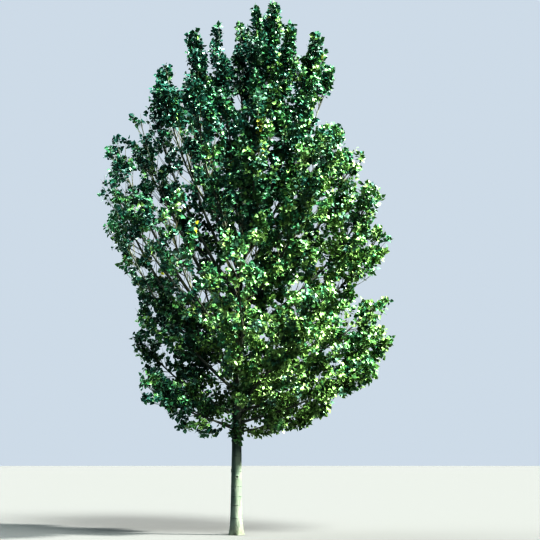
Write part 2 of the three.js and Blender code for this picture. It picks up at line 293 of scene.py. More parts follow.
# How far short of its solid's tip a limb ends, in metres
SHORTENED = {
    "left_low": 0.2,
    "left_high": 0.5,
    "left_spire": 0.3,
    "top_front": 0.3,
    "right_spire": 0.2,
    "right_high": 0.3,
    "right_side": 0.2,
    "front_1": 0.8,
    "front_9": 0.8,
}
FLAME_POWER = 1.15
TIP_SPRAY = 0.42
MEASURE_POINTS = 24

# name, from, azimuth, reach, top, spread, bare, leafiness
OUTLINE_LIMBS = (
    ("left_skirt", 2.30, 203, 1.90, 3.35, 0.62, 0, 1.0),
    ("left_low", 2.65, 172, 2.33, 4.50, 0.70, 0, 1.0),
    ("left_side", 3.15, 197, 2.82, 7.00, 0.68, 0.38, 0.75),
    ("left_far", 3.65, 171, 3.08, 8.25, 0.66, 0.38, 0.7),
    ("left_shoulder", 4.20, 193, 2.85, 8.80, 0.60, 0.38, 0.7),
    ("left_arm", 4.80, 163, 2.53, 9.85, 0.59, 0.38, 0.7),
    ("left_high", 5.30, 188, 2.15, 10.35, 0.56, 0.38, 0.75),
    ("left_spire", 5.65, 206, 1.90, 10.85, 0.52, 0.36, 0.8),
    ("upper_left", 6.12, 166, 1.12, 11.90, 0.50, 0, 0.85),
    ("top_left", 6.90, 236, 0.80, 11.65, 0.48, 0, 1.0),
    ("top_back", 7.50, 88, 0.95, 12.35, 0.48, 0, 1.0),
    ("top_front", 7.90, -38, 1.13, 12.48, 0.47, 0, 1.0),
    ("top_right", 7.10, 24, 1.40, 12.15, 0.50, 0, 1.0),
    ("upper_right", 6.50, -24, 1.98, 11.25, 0.56, 0, 1.0),
    ("right_spire", 6.15, 18, 2.33, 11.20, 0.58, 0.38, 1.0),
    ("right_high", 5.65, -22, 2.50, 9.25, 0.62, 0.33, 1.0),
    ("right_arm", 5.00, 7, 2.78, 8.80, 0.66, 0.33, 1.0),
    ("right_shoulder", 4.40, -14, 3.16, 7.55, 0.70, 0.33, 1.0),
    ("right_far", 3.85, 12, 3.35, 6.85, 0.72, 0.33, 1.0),
    ("right_side", 3.15, -8, 3.28, 5.25, 0.72, 0.33, 1.0),
    ("right_low", 2.70, 14, 3.38, 4.45, 0.70, 0.33, 1.0),
    ("right_skirt", 2.45, -16, 2.95, 3.65, 0.64, 0, 1.0),
    ("right_hem", 2.25, 20, 1.90, 2.85, 0.52, 0, 1.0),
)
FILL_COUNT = 18
FILL_FIRST_HEIGHT = 2.35
FILL_HEIGHT_STEP = 0.25
FILL_RISE = (1.0, 4.0)
FILL_FAN = 118
FILL_FAN_STEP = 0.382
FILL_SPREAD = (0.76, 0.52)
FILL_BOUGHS = range(7, 11)
FILL_BARE = 0.33
LEADER_SPREAD = 0.47
HEART_FROM = 1.95
HEART_TOP = 7.2
HEART_SPREAD = 1.0
LEADER_SHORT_OF_TOP = 0.06


def crown_reach_at(height):
    end = CROWN_TOP_HEIGHT if height > CROWN_WIDEST_HEIGHT else CROWN_BOTTOM_HEIGHT
    share = min(1, (height - CROWN_WIDEST_HEIGHT) / (end - CROWN_WIDEST_HEIGHT))
    return CROWN_REACH * math.sqrt(1 - share * share)


def fill_rows():
    for k in range(FILL_COUNT):
        climb = k / (FILL_COUNT - 1)
        start = FILL_FIRST_HEIGHT + k * FILL_HEIGHT_STEP
        top = start + lerp(*FILL_RISE, math.sqrt(climb))
        fan = ((k * FILL_FAN_STEP) % 1 - 0.5) * FILL_FAN
        name = ("back_" if k % 2 else "front_") + str(k // 2 + 1)
        azimuth = (90 if k % 2 else -90) + fan
        bare = FILL_BARE if k in FILL_BOUGHS else 0
        yield name, start, azimuth, crown_reach_at(top), top, lerp(*FILL_SPREAD, climb), bare, 1.0


def length_of(*points):
    return sum(math.dist(a, b) for a, b in zip(points, points[1:]))


def placed_limb(row, index):
    name, start, azimuth, reach, top, spread, bare, leafiness = row
    turn = math.radians(azimuth)
    root = trunk_axis(start)
    tip = np.array((math.cos(turn) * reach, math.sin(turn) * reach, top))
    knee = np.array((*lerp(root[:2], tip[:2], KNEE_OUT), lerp(root[2], tip[2], KNEE_UP)))
    return {
        "name": name,
        "index": index,
        "root": root,
        "knee": knee,
        "tip": tip,
        "side": np.array((-math.sin(turn), math.cos(turn), 0)),
        "phase": (index * LIMB_PHASE_STEP) % 1,
        "spread": spread,
        "tip_width": FILL_TIP if name in fill_names else lerp(*FLAME_TIP, reach / CROWN_REACH),
        "depth": 1 if name in fill_names else OUTLINE_DEPTH,
        "short": SHORTENED.get(name, 0),
        "bare": bare,
        "leafiness": leafiness,
        "leafy_from": max(bare, FOLIAGE_START),
        "inner_from": INNER_FROM_OPEN if leafiness < 1 and start > OPEN_ABOVE else INNER_FROM_FULL,
        "length": (length_of(root, knee, tip) + length_of(root, tip)) / 2,
    }


def upright_limb(name, start, top, spread, tip, length):
    """A limb that goes up the trunk's own line, with leafy twigs along all of it."""
    made = placed_limb((name, start, 0, 0, top, spread, 0, 1.0), len(limbs))
    made.update(knee=trunk_axis((start + top) / 2), tip=tip, length=length, leafy_from=0, inner_from=0)
    return made


rows = [*OUTLINE_LIMBS, *fill_rows()]
fill_names = {row[0] for row in fill_rows()}
limbs = [placed_limb(row, index) for index, row in enumerate(rows)]
tip = np.array((LEAN_AT_TOP, 0, TREE_HEIGHT - LEADER_SHORT_OF_TOP))
length = math.dist(trunk_axis(TRUNK_TIP_HEIGHT), tip)
leader = upright_limb("leader", TRUNK_TIP_HEIGHT, TREE_HEIGHT, LEADER_SPREAD, tip, length)
leader.update(side=np.array((0, 1, 0)), phase=0)
limbs.append(leader)
grown_limbs = list(limbs)
tip = trunk_axis(HEART_TOP)
heart = upright_limb("heart", HEART_FROM, HEART_TOP, HEART_SPREAD, tip, HEART_TOP - HEART_FROM)
heart.update(side=np.zeros(3), depth=1)
limbs.append(heart)


def unit(vectors):
    return vectors / np.linalg.norm(vectors, axis=-1, keepdims=True)


def limb_points(limb, shares):
    """Points of a limb's centre line: out from the trunk and up to the tip, with a slight sideways sway."""
    t = np.atleast_1d(shares)[:, None]
    rest = 1 - t
    sway = LIMB_SWAY * 4 * t * rest * np.sin(math.tau * (LIMB_SWAY_TURNS * t + limb["phase"]))
    bend = limb["root"] * rest**2 + limb["knee"] * 2 * rest * t + limb["tip"] * t**2
    return bend + limb["side"] * sway


def limb_directions(limb, shares):
    step = 0.01
    return unit(limb_points(limb, shares + step) - limb_points(limb, shares - step))


def limb_radius(limb, share):
    by_trunk = trunk_radius(limb["root"][2]) * LIMB_SHARE_OF_TRUNK
    thick = min(limb["length"] * LIMB_THICKNESS_PER_LENGTH, by_trunk)
    return LIMB_TIP_RADIUS + (thick - LIMB_TIP_RADIUS) * np.maximum(1 - share, 0) ** LIMB_TAPER_POWER


def spread_at(limb, share):
    """Half the width of a limb's foliage, which narrows like a flame towards the tip."""
    rise = np.minimum(1, (1 - share) * limb["length"] / FLAME_TAPER)
    return limb["spread"] * lerp(limb["tip_width"], 1, rise ** FLAME_POWER)


for limb in limbs:
    limb["stem_end"] = 1 - TIP_SPRAY / limb["length"]
print("limbs:", len(limbs), "with", round(sum(limb["length"] for limb in limbs)), "m of stem in all")

# %% [markdown]
# ## Whose space is it?
# Each limb carries its leaves in its own space, which parts the crown into flames with seams of sky or
# shade between them. How near a point is to a limb is its distance as a share of the foliage's half width
# there. A point belongs to the limb that it is nearest to.

# %% Space helper
LEAF_ROOM = 0.14
measured_points = []
measured_spreads = []
for limb in limbs:
    room = LEAF_ROOM + limb["short"]
    places = np.linspace(limb["inner_from"], 1 - room / limb["length"], MEASURE_POINTS + 1)
    measured_points.append(limb_points(limb, places))
    measured_spreads.append(spread_at(limb, places))
measured_points = np.array(measured_points)
measured_spreads = np.array(measured_spreads)
stretches = np.array([(1, limb["depth"], 1) for limb in limbs])[:, None]
CHUNK = 2000


def claims(points, owners):
    """For each point, how near it is to its own limb and how near to the best of the others."""
    own = np.empty(len(points))
    other = np.empty(len(points))
    for start in range(0, len(points), CHUNK):
        part = slice(start, start + CHUNK)
        away = np.linalg.norm((points[part, None, None] - measured_points) / stretches, axis=-1)
        nearness = (away / measured_spreads).min(axis=-1)
        row = np.arange(len(nearness))
        own[part] = nearness[row, owners[part]]
        nearness[row, owners[part]] = np.inf
        other[part] = nearness.min(axis=-1)
    return own, other


def in_own_space(points, owners, furthest, clear):
    own, other = claims(points, owners)
    return (own < furthest) & (own < other * clear)


# %% [markdown]
# ## Bark with real relief
# The trunk and the limbs are rings of points along a centre line, closed at both ends. Each point moves
# out or in by the height of the bark there, so each swelling can be put at the limb that it belongs to.
# How strongly a point is marked is kept as an attribute, for the colour to follow.


# %% Bark tube
STEEP = 0.9


def bark_tube(centres, alongs, radius_at, sides):
    """Points, faces and marks of a closed tube. radius_at gives the radius and the mark of ring i at an angle
    and a point."""
    points = []
    marks = []
    across = Vector((1, 0, 0)) if abs(alongs[0][2]) > STEEP else Vector((0, 0, 1))
    for i, (centre, along) in enumerate(zip(map(Vector, centres), map(Vector, alongs))):
        across = (across - along * across.dot(along)).normalized()
        over = along.cross(across)
        for k in range(sides):
            angle = math.tau * k / sides
            out = across * math.cos(angle) + over * math.sin(angle)
            radius, mark = radius_at(i, angle, centre, out)
            points.append(centre + out * radius)
            marks.append(mark)
    faces = []
    for i in range(len(centres) - 1):
        for k in range(sides):
            a = i * sides + k
            b = i * sides + (k + 1) % sides
            faces.append((a, b, b + sides, a + sides))
    last = (len(centres) - 1) * sides
    for ring, end, turn in ((0, Vector(centres[0]), -1), (last, Vector(centres[-1]), 1)):
        middle = len(points)
        points.append(end)
        marks.append(0)
        for k in range(sides):
            pair = (ring + k, ring + (k + 1) % sides)
            faces.append((middle, *pair[::turn]))
    return points, faces, marks


def bark_piece(name, tubes):
    """One object from several tubes, smooth, with the marks as an attribute."""
    points = []
    faces = []
    marks = []
    for more_points, more_faces, more_marks in tubes:
        faces += [tuple(len(points) + corner for corner in face) for face in more_faces]
        points += more_points
        marks += more_marks
    piece = mesh_object(name, points, faces)
    put_on_points(piece.data, "mark", marks)
    piece.data.polygons.foreach_set("use_smooth", [True] * len(faces))
    return piece


# %% [markdown]
# ## The trunk
# The stem of a young hybrid poplar is smooth and pale. What breaks it up: fine upright cracks near the
# ground, rings of wrinkles where each year's shoot began, a few eyes where low branches were pruned, and
# a swelling under each limb. Each is a term of the bark's height here.

# %% Trunk
TRUNK_SIDES = 84
FINE_UP_TO = 2.4
FINE_STEP = 0.0085
COARSE_STEP = 0.05
RING_SCARS = (0.36, 0.64, 0.83, 1.05, 1.38, 1.72, 2.1)
# height, azimuth and size
EYES = (
    (0.52, 62, 0.020),
    (0.98, -118, 0.018),
    (1.26, -84, 0.030),
    (1.55, 35, 0.024),
    (1.83, -35, 0.022),
    (1.4, 172, 0.026),
)
CRACK_DEPTH = 0.0028
CRACKED_UP_TO = 1.1
SCAR_HALF_WIDTH = 0.007
SCAR_HEIGHT = 0.0035
EYE_HEIGHT = 0.007
COLLAR_HEIGHT = 0.012
GRAIN_HEIGHT = 0.0012
CRACKS_PER_METRE = (34, 3.2)
GRAIN_PER_METRE = (22, 9)
CRACK_SHARPNESS = 3.2
LEAST_CRACKED = 0.25
CRACK_MARK = 0.55
SCAR_WANDER = 0.012
# The ridge over each scar: how far up and its half width
SCAR_RIDGE = (0.012, 0.009)
SCAR_GROOVE = 0.8
SCAR_LEAST = 0.35
EYE_REACH = 4
EYE_STRETCH = 0.8
EYE_RING = 0.55
# The hollow in each eye: how deep and how wide
EYE_HOLLOW = (0.7, 0.6)
EYE_MARK = 0.8
COLLAR_BELOW = 0.6
COLLAR_REACH = 0.35
COLLAR_WIDTH = 0.11
JUST_OUT = 0.02


def bump(distance, width):
    return math.exp(-((distance / width) ** 2))


def stretched(place, across, up):
    """A place in noise that swells so many times a metre across and up."""
    return Vector((place.x * across, place.y * across, place.z * up))


def trunk_bark(i, angle, centre, out):
    height = centre.z
    smooth = trunk_surface(height, angle)
    place = centre + out * smooth
    crack = max(0, 1 - CRACK_SHARPNESS * abs(noise.noise(stretched(place, *CRACKS_PER_METRE))))
    cracks = crack * (LEAST_CRACKED + math.exp(-height / CRACKED_UP_TO))
    grain = noise.fractal(stretched(place, *GRAIN_PER_METRE), 1.0, 2.0, 3)
    mark = min(1, cracks * CRACK_MARK)
    relief = GRAIN_HEIGHT * grain - CRACK_DEPTH * cracks
    for k, scar in enumerate(RING_SCARS):
        wander = SCAR_WANDER * noise.noise(Vector((out.x * 2, out.y * 2, 7.3 * k)))
        above = height - scar - wander
        near = bump(above, SCAR_HALF_WIDTH)
        chance = noise.noise(Vector((out.x * 1.6, out.y * 1.6, 3.1 * k + 50)))
        kept = SCAR_LEAST + (1 - SCAR_LEAST) * max(0, chance * 2 + 0.4)
        relief += SCAR_HEIGHT * (bump(above - SCAR_RIDGE[0], SCAR_RIDGE[1]) - near * SCAR_GROOVE) * kept
        mark = max(mark, near * min(1, kept))
    for eye_height, azimuth, size in EYES:
        turn = math.atan2(out.y, out.x) - math.radians(azimuth)
        aside = math.atan2(math.sin(turn), math.cos(turn)) * smooth
        away = math.hypot(aside * EYE_STRETCH, height - eye_height)
        if away < EYE_REACH * size:
            hollow = EYE_HOLLOW[0] * bump(away, size * EYE_HOLLOW[1])
            relief += EYE_HEIGHT * (bump(away - size, size * EYE_RING) - hollow)
            mark = max(mark, bump(away, size * EYE_MARK))
    for limb in grown_limbs[:-1]:
        below = height - limb["root"][2] + limb_radius(limb, 0) * COLLAR_BELOW
        if abs(below) < COLLAR_REACH:
            towards = max(0, out.dot(limb["out"]))
            relief += COLLAR_HEIGHT * bump(below, COLLAR_WIDTH) * towards**4
    return smooth + relief, mark


for limb in grown_limbs:
    start = limb_directions(limb, np.array([JUST_OUT]))[0]
    limb["out"] = Vector((start[0], start[1], 0)).normalized()
fine = np.arange(0, FINE_UP_TO, FINE_STEP)
coarse = np.linspace(FINE_UP_TO, TRUNK_TIP_HEIGHT, int((TRUNK_TIP_HEIGHT - FINE_UP_TO) / COARSE_STEP))
trunk_heights = np.concatenate((fine, coarse))
trunk_centres = [trunk_axis(height) for height in trunk_heights]
upwards = np.array((0.0, 0.0, 1.0))
trunk_tube = bark_tube(trunk_centres, [upwards] * len(trunk_centres), trunk_bark, TRUNK_SIDES)
trunk = bark_piece("trunk_with_bark", [trunk_tube])
print("trunk:", len(trunk.data.polygons), "faces")

# %% [markdown]
# ## The limbs
# The boughs and the stems that go on from them are one living thing, so each limb is one tube from inside
# the trunk to near its tip. It starts in a swollen collar, and its young bark is smoother than the
# trunk's, with soft knobs and wrinkles from noise.

# %% Limbs
LIMB_SIDES = 10
LIMB_RING_STEP = 0.07
LIMB_COLLAR = 0.55
LIMB_COLLAR_LENGTH = 0.09
LIMB_GRAIN = 0.05
KNOBS_PER_METRE = (9, 7)
WRINKLES_PER_METRE = (4, 34)
LIMB_INTO_SPRAY = 0.3
COLLAR_FROM = 1.1


def limb_tube(limb):
    count = int(limb["length"] / LIMB_RING_STEP)
    shares = np.linspace(0, 1 - (LIMB_INTO_SPRAY * TIP_SPRAY + limb["short"]) / limb["length"], count)
    centres = limb_points(limb, shares)
    alongs = limb_directions(limb, shares)
    inside = trunk_radius(limb["root"][2]) * COLLAR_FROM

    def limb_bark(i, angle, centre, out):
        plain = float(limb_radius(limb, shares[i]))
        walked = shares[i] * limb["length"]
        collar = 1 + LIMB_COLLAR * math.exp(-max(0, walked - inside) / LIMB_COLLAR_LENGTH)
        if limb["name"] == "leader":
            collar = 1
        place = centre + out * plain
        knob = noise.noise(stretched(place, *KNOBS_PER_METRE))
        wrinkle = max(0, noise.noise(stretched(place, *WRINKLES_PER_METRE)))
        return plain * collar * (1 + LIMB_GRAIN * knob + LIMB_GRAIN * wrinkle), wrinkle

    return bark_tube(centres, alongs, limb_bark, LIMB_SIDES)


limb_piece = bark_piece("limbs_with_bark", [limb_tube(limb) for limb in grown_limbs])
print("limbs:", len(limb_piece.data.polygons), "faces")

# %% [markdown]
# ## Where twigs stand
# On a poplar each twig stands about 137.5 degrees round from the one before, which spreads them evenly.
# The solids have one twig for every 255 mm of limb. These are grown again from the same numbers, with up
# to two finer ones between each pair. Each is made shorter until it ends in its own limb's space, as in
# the solids.

# %% Branchlets
GOLDEN_ANGLE = 137.508
TWIG_SPACING = 0.255
FEWEST_TWIGS = 6
TWIG_LEAN = (60, 28)
TWIG_LIFT = (-0.25, 0.25)
TWIG_LIFT_FULL_HEIGHT = 6.0
TWIG_SHARE_OF_SPREAD = 0.42
TWIG_LENGTH_SPREAD = 0.9
SPRAY_LENGTH = 0.62
SPRAY_LENGTH_SPREAD = 0.3
BETWEEN = (0, -1 / 3, 1 / 3)
TWIG_RADIUS = 0.008
TWIG_TIP_RADIUS = 0.0022
TWIG_SHARE_OF_LIMB = 0.7
SPRAY_KEPT = 0.72
SIZES_TRIED = (1, 0.88, 0.76, 0.64, 0.52, 0.4, 0.3)
TWIG_CURL = 0.35
INNER_TWIG_LENGTHS = (0.45, 0.9)
FINER_TWIG_SIZES = (0.5, 1.2)
FINER_SPRAY_SIZES = (0.7, 1.1)
STREAM_SIZE = 2**32
STREAM_START = 2654435761
STREAM_TIMES = 1664525
STREAM_PLUS = 1013904223
FINER_TURN = 4
# How near its limb an end has to be, and how much nearer than to the next limb
TWIG_SPACE = (0.98, 0.98)


def seeded(seed):
    """The source's own stream of numbers from 0 to 1."""
    state = (seed + 1) * STREAM_START % STREAM_SIZE

    def draw():
        nonlocal state
        state = (state * STREAM_TIMES + STREAM_PLUS) % STREAM_SIZE
        return state / STREAM_SIZE

    return draw


def across_of(alongs):
    """A unit vector across each direction."""
    upright = np.abs(alongs[:, 2:]) >= STEEP
    other = np.where(upright, np.array((1.0, 0.0, 0.0)), upwards)
    return unit(np.cross(alongs, other))


def turned(vectors, axes, angles):
    """Vectors that lie across their axes, turned round them."""
    turn = np.asarray(angles)[..., None]
    return vectors * np.cos(turn) + np.cross(axes, vectors) * np.sin(turn)


def twig_rows(limb):
    draw = seeded(limb["index"])
    finer = np.random.default_rng(limb["index"])
    draw()
    lift = lerp(*TWIG_LIFT, min(1, limb["root"][2] / TWIG_LIFT_FULL_HEIGHT))
    leafy = limb["length"] * (limb["stem_end"] - limb["leafy_from"])
    count = max(FEWEST_TWIGS, round(leafy / TWIG_SPACING))
    for k in range(count):
        own = (1 + TWIG_LENGTH_SPREAD * (draw() - 0.5), 1 + SPRAY_LENGTH_SPREAD * (draw() - 0.5))
        draw()
        for offset in BETWEEN:
            if offset and finer.random() > limb["leafiness"]:
                continue
            share = lerp(limb["leafy_from"], limb["stem_end"], (k + 0.5 + offset) / count)
            around = math.radians(GOLDEN_ANGLE * (k + FINER_TURN * offset) + 360 * limb["phase"])
            lean = math.radians(lerp(*TWIG_LEAN, k / count))
            sizes = own
            if offset:
                sizes = (finer.uniform(*FINER_TWIG_SIZES), finer.uniform(*FINER_SPRAY_SIZES))
            reach = spread_at(limb, share) * TWIG_SHARE_OF_SPREAD * sizes[0] / math.sin(lean)
            yield share, around, lean, lift, reach + SPRAY_LENGTH * SPRAY_KEPT * sizes[1]
    # Finer twigs fill the stretch below, where the solids have a bare bough
    inner_length = limb["length"] * (limb["leafy_from"] - limb["inner_from"])
    for k in range(max(0, round(len(BETWEEN) * inner_length / TWIG_SPACING))):
        share = lerp(limb["inner_from"], limb["leafy_from"], finer.random())
        length = lerp(*INNER_TWIG_LENGTHS, finer.random())
        yield share, math.radians(GOLDEN_ANGLE * k), math.radians(TWIG_LEAN[0]), lift, length


def grow_twigs():
    columns = {"foot": [], "along": [], "length": [], "thick": [], "owner": []}
    for limb in limbs:
        shares, arounds, leans, lifts, lengths = np.array(list(twig_rows(limb))).T
        feet = limb_points(limb, shares)
        stems = limb_directions(limb, shares)
        radials = turned(across_of(stems), stems, arounds)
        alongs = unit(
            stems * np.cos(leans)[:, None] + radials * np.sin(leans)[:, None] + upwards * lifts[:, None]
        )
        lengths = lengths * (1 + (limb["depth"] - 1) * np.abs(radials[:, 1]))
        # The stem's own end grows on to the limb's tip
        end = limb_points(limb, [limb["stem_end"]])
        feet = np.vstack((feet, end))
        alongs = np.vstack((alongs, unit(limb["tip"] - end)))
        lengths = np.append(lengths, TIP_SPRAY)
        limb_there = limb_radius(limb, np.append(shares, limb["stem_end"]))
        thick = np.minimum(TWIG_RADIUS, limb_there * TWIG_SHARE_OF_LIMB)
        owners = np.full(len(feet), limb["index"])
        for column, more in zip(columns.values(), (feet, alongs, lengths, thick, owners)):
            column.append(more)
    return {name: np.concatenate(column) for name, column in columns.items()}


def along_curve(family, index, shares):
    """Points on the members of a family of curved twigs, at shares of their lengths, and the way they run."""
    along = family["along"][index]
    curl = family["curl"][index]
    length = family["length"][index][:, None]
    t = shares[:, None]
    return family["foot"][index] + length * (along * t + curl * t**2), unit(along + 2 * curl * t)


def at_share(family, share):
    """The same for every member at one share of its length."""
    everyone = np.arange(len(family["foot"]))
    return along_curve(family, everyone, np.full(len(everyone), float(share)))


def only(family, kept):
    return {name: column[kept] for name, column in family.items()}


def fit(family, furthest, clear):
    """Each twig shortened to the first size that ends in its limb's own space, and dropped if none does."""
    full = family["length"].copy()
    fits = np.zeros(len(full), bool)
    for size in SIZES_TRIED:
        family["length"] = np.where(fits, family["length"], full * size)
        ends, _ = at_share(family, 1)
        fits |= in_own_space(ends, family["owner"], furthest, clear)
    return only(family, fits)


twigs = grow_twigs()
twigs["curl"] = np.tile(upwards * TWIG_CURL, (len(twigs["foot"]), 1))
twigs = fit(twigs, *TWIG_SPACE)
print("branchlets:", len(twigs["foot"]), "mean length", round(twigs["length"].mean(), 2), "m")

# %% [markdown]
# ## Where the crown is open
# The sky shows through the real crown, most of all at the upper left. Seen from where the camera stands,
# a point lies over some place in the plane of the trunk, and that place says how full the crown is there.
# The windows and notches in that plane were read off the photograph, in pixels, and turned into
# metres beforehand. No branchlet ends in one, and no shoot or leaf has its middle there. Soft noise adds
# small chinks, a share of the leaves in front of the limbs that show is left out, and noise in space
# makes the shoots stand in clumps.

# %% Fullness
# across, up, half width and half height, in metres in the plane of the trunk
WINDOWS = (
    (-2.66, 7.95, 0.10, 0.11),
    (-2.41, 8.13, 0.17, 0.17),
    (-1.91, 7.67, 0.11, 0.21),
    (-1.83, 8.58, 0.13, 0.18),
    (-1.19, 8.34, 0.13, 0.38),
    (-2.22, 9.31, 0.12, 0.17),
    (-1.46, 9.11, 0.11, 0.24),
    (-2.65, 8.76, 0.12, 0.10),
    (-1.52, 7.11, 0.14, 0.15),
    (-1.99, 6.79, 0.18, 0.13),
    (-1.41, 6.64, 0.16, 0.18),
    (-2.31, 6.46, 0.16, 0.25),
    (-0.98, 6.19, 0.11, 0.16),
    (-1.18, 5.70, 0.17, 0.28),
    (-1.88, 6.12, 0.12, 0.19),
    (-2.18, 5.88, 0.14, 0.10),
    (-1.79, 4.61, 0.09, 0.08),
    (-0.74, 5.35, 0.14, 0.17),
    (-0.59, 6.24, 0.12, 0.11),
    (-0.86, 7.79, 0.10, 0.22),
    (-0.72, 7.25, 0.10, 0.08),
    (-0.01, 10.00, 0.12, 0.19),
    (0.24, 6.20, 0.10, 0.13),
    (0.41, 6.44, 0.10, 0.13),
    (1.79, 7.41, 0.10, 0.12),
    (0.75, 5.02, 0.08, 0.10),
)
# The same for notches, where the sky comes in between the flames and round the crown's rim
NOTCHES = (
    (-2.06, 2.62, 0.55, 0.28),
    (-2.69, 3.30, 0.50, 0.75),
    (-2.81, 5.15, 0.55, 0.70),
    (-3.47, 8.45, 0.36, 0.83),
    (-2.35, 11.04, 0.43, 0.62),
    (-1.42, 10.84, 0.15, 0.57),
    (-0.83, 11.85, 0.09, 0.40),
    (-0.22, 11.60, 0.15, 0.55),
    (0.58, 12.46, 0.08, 0.36),
    (1.10, 12.35, 0.09, 0.43),
    (1.54, 11.65, 0.18, 0.52),
    (2.65, 10.30, 0.41, 1.00),
    (2.19, 9.80, 0.43, 0.29),
    (3.10, 5.50, 0.39, 0.26),
)
OPEN_SHARE = 0.4
OPEN_ACROSS = (0.4, -0.9)
OPEN_UP = (4.4, 5.6)
OPEN_UP_TO = (10.2, 9.2)
CLUMP_SIZE = 0.55
CLUMP_STRENGTH = 1.2


def over_trunk_plane(points):
    """Where each point is seen in the plane of the trunk: how far across and how far up."""
    eye = np.array(CAMERA_PLACE)
    scale = -eye[1] / (points[:, 1] - eye[1])
    return eye[0] + (points[:, 0] - eye[0]) * scale, eye[2] + (points[:, 2] - eye[2]) * scale


def ramp(values, start, end):
    share = np.clip((values - start) / (end - start), 0, 1)
    return share * share * (3 - 2 * share)


def in_window(points):
    across, up = over_trunk_plane(points)
    hit = np.zeros(len(points), bool)
    for x, z, half_width, half_height in WINDOWS + NOTCHES:
        hit |= ((across - x) / half_width) ** 2 + ((up - z) / half_height) ** 2 < 1
    return hit


# The limbs that the camera sees between the leaves, and how far along each
SEEN_LIMBS = {
    "left_side": (0.25, 0.6),
    "left_far": (0.2, 0.6),
    "left_shoulder": (0.1, 0.62),
    "left_arm": (0, 0.65),
    "left_high": (0, 0.65),
    "left_spire": (0, 0.65),
    "upper_left": (0, 0.6),
    "top_left": (0, 0.5),
    "right_arm": (0, 0.4),
    "right_high": (0, 0.5),
    "heart": (0.45, 1),
}
GLIMPSE_SIZE = 0.16
GLIMPSE_SLICE = 0.5
GLIMPSE_ABOVE = (0.37, 0.35)
GLIMPSE_RISE = 0.3
GLIMPSE_LOW = (4.2, 2.4)
GLIMPSE_LOW_ACROSS = (-1.9, -1.0)
GLIMPSE_HIGH = (9.4, 10.6)
LANE_POINTS = 44
LANE_CLEARED = 0.2
lanes = []
for limb in limbs:
    if limb["name"] in SEEN_LIMBS:
        line = limb_points(limb, np.linspace(*SEEN_LIMBS[limb["name"]], LANE_POINTS))
        lanes.append((*over_trunk_plane(line), line[:, 1]))


def in_glimpse(points):
    """Which points stand in small chinks of sky: more at the left, few at the top or low at the right."""
    across, up = over_trunk_plane(points)
    places = np.stack((across, up), axis=-1) / GLIMPSE_SIZE
    chance = np.array([noise.noise(Vector((x, y, GLIMPSE_SLICE))) for x, y in places])
    closed = ramp(up, *GLIMPSE_LOW) * ramp(across, *GLIMPSE_LOW_ACROSS) + ramp(up, *GLIMPSE_HIGH)
    return chance > lerp(*GLIMPSE_ABOVE, ramp(across, *OPEN_ACROSS)) + GLIMPSE_RISE * closed


def before_limbs(points, half_width):
    """Which points stand in front of a limb that is seen."""
    across, up = over_trunk_plane(points)
    hit = np.zeros(len(points), bool)
    for lane_across, lane_up, depth in lanes:
        away = np.hypot(across[:, None] - lane_across, up[:, None] - lane_up)
        nearest = away.argmin(axis=1)
        hit |= (away.min(axis=1) < half_width) & (points[:, 1] < depth[nearest])
    return hit


def left_out(points, half_width, rng):
    """Which points stand in an opening, or before a limb that is seen and are drawn to go."""
    cleared = before_limbs(points, half_width) & (rng.random(len(points)) < LANE_CLEARED)
    return in_window(points) | in_glimpse(points) | cleared


def fullness(points):
    across, up = over_trunk_plane(points)
    thin = OPEN_SHARE * ramp(across, *OPEN_ACROSS) * ramp(up, *OPEN_UP) * ramp(up, *OPEN_UP_TO)
    clump = np.array([noise.noise(Vector(point) / CLUMP_SIZE) for point in points])
    return (1 - thin) * (1 + CLUMP_STRENGTH * clump)


# %% [markdown]
# ## Shoots
# This year's shoots are what carries the leaves. They stand round each branchlet by the same angle,
# longest near its foot, and the last goes straight on from its end.

# %% Shoots
SHOOT_SPACING = 0.06
SHOOT_FIRST = 0.1
SHOOT_LEAN = (52, 30)
SHOOT_LENGTH = 0.24
SHOOT_SHORTENING = 0.4
SHOOT_RADIUS = 0.0024
SHOOT_TIP_RADIUS = 0.0013
SHOOT_CURL = 0.25
SHOOT_CURL_SPREAD = 0.6
SHOOT_SIZES = (0.7, 1.3)
END_SHOOT = 0.5
END_SHOOT_SIZES = (0.7, 1.2)
SHOOT_LANE = 0.1
SHOOT_SPACE = (1.12, 1.02)
SHOOT_SEED = 11
FEWEST_SIDE_SHOOTS = 3
shoot_rng = np.random.default_rng(SHOOT_SEED)


def set_round(family, spacing, first, fewest, rng):
    """Offshoots round the members of a family. Gives for each its parent, its place as a share, its foot, the
    way that the parent runs there and the way straight out."""
    lengths = family["length"]
    counts = np.maximum(fewest, np.round(lengths * (1 - first) / spacing)).astype(int)
    parent = np.repeat(np.arange(len(lengths)), counts)
    number = np.arange(len(parent)) - np.repeat(np.cumsum(counts) - counts, counts)
    place = first + (1 - first) * (number + 0.5) / counts[parent]
    feet, stems = along_curve(family, parent, place)
    start = rng.random(len(lengths)) * 360
    around = np.radians(start[parent] + GOLDEN_ANGLE * number)
    return parent, place, feet, stems, turned(across_of(stems), stems, around)


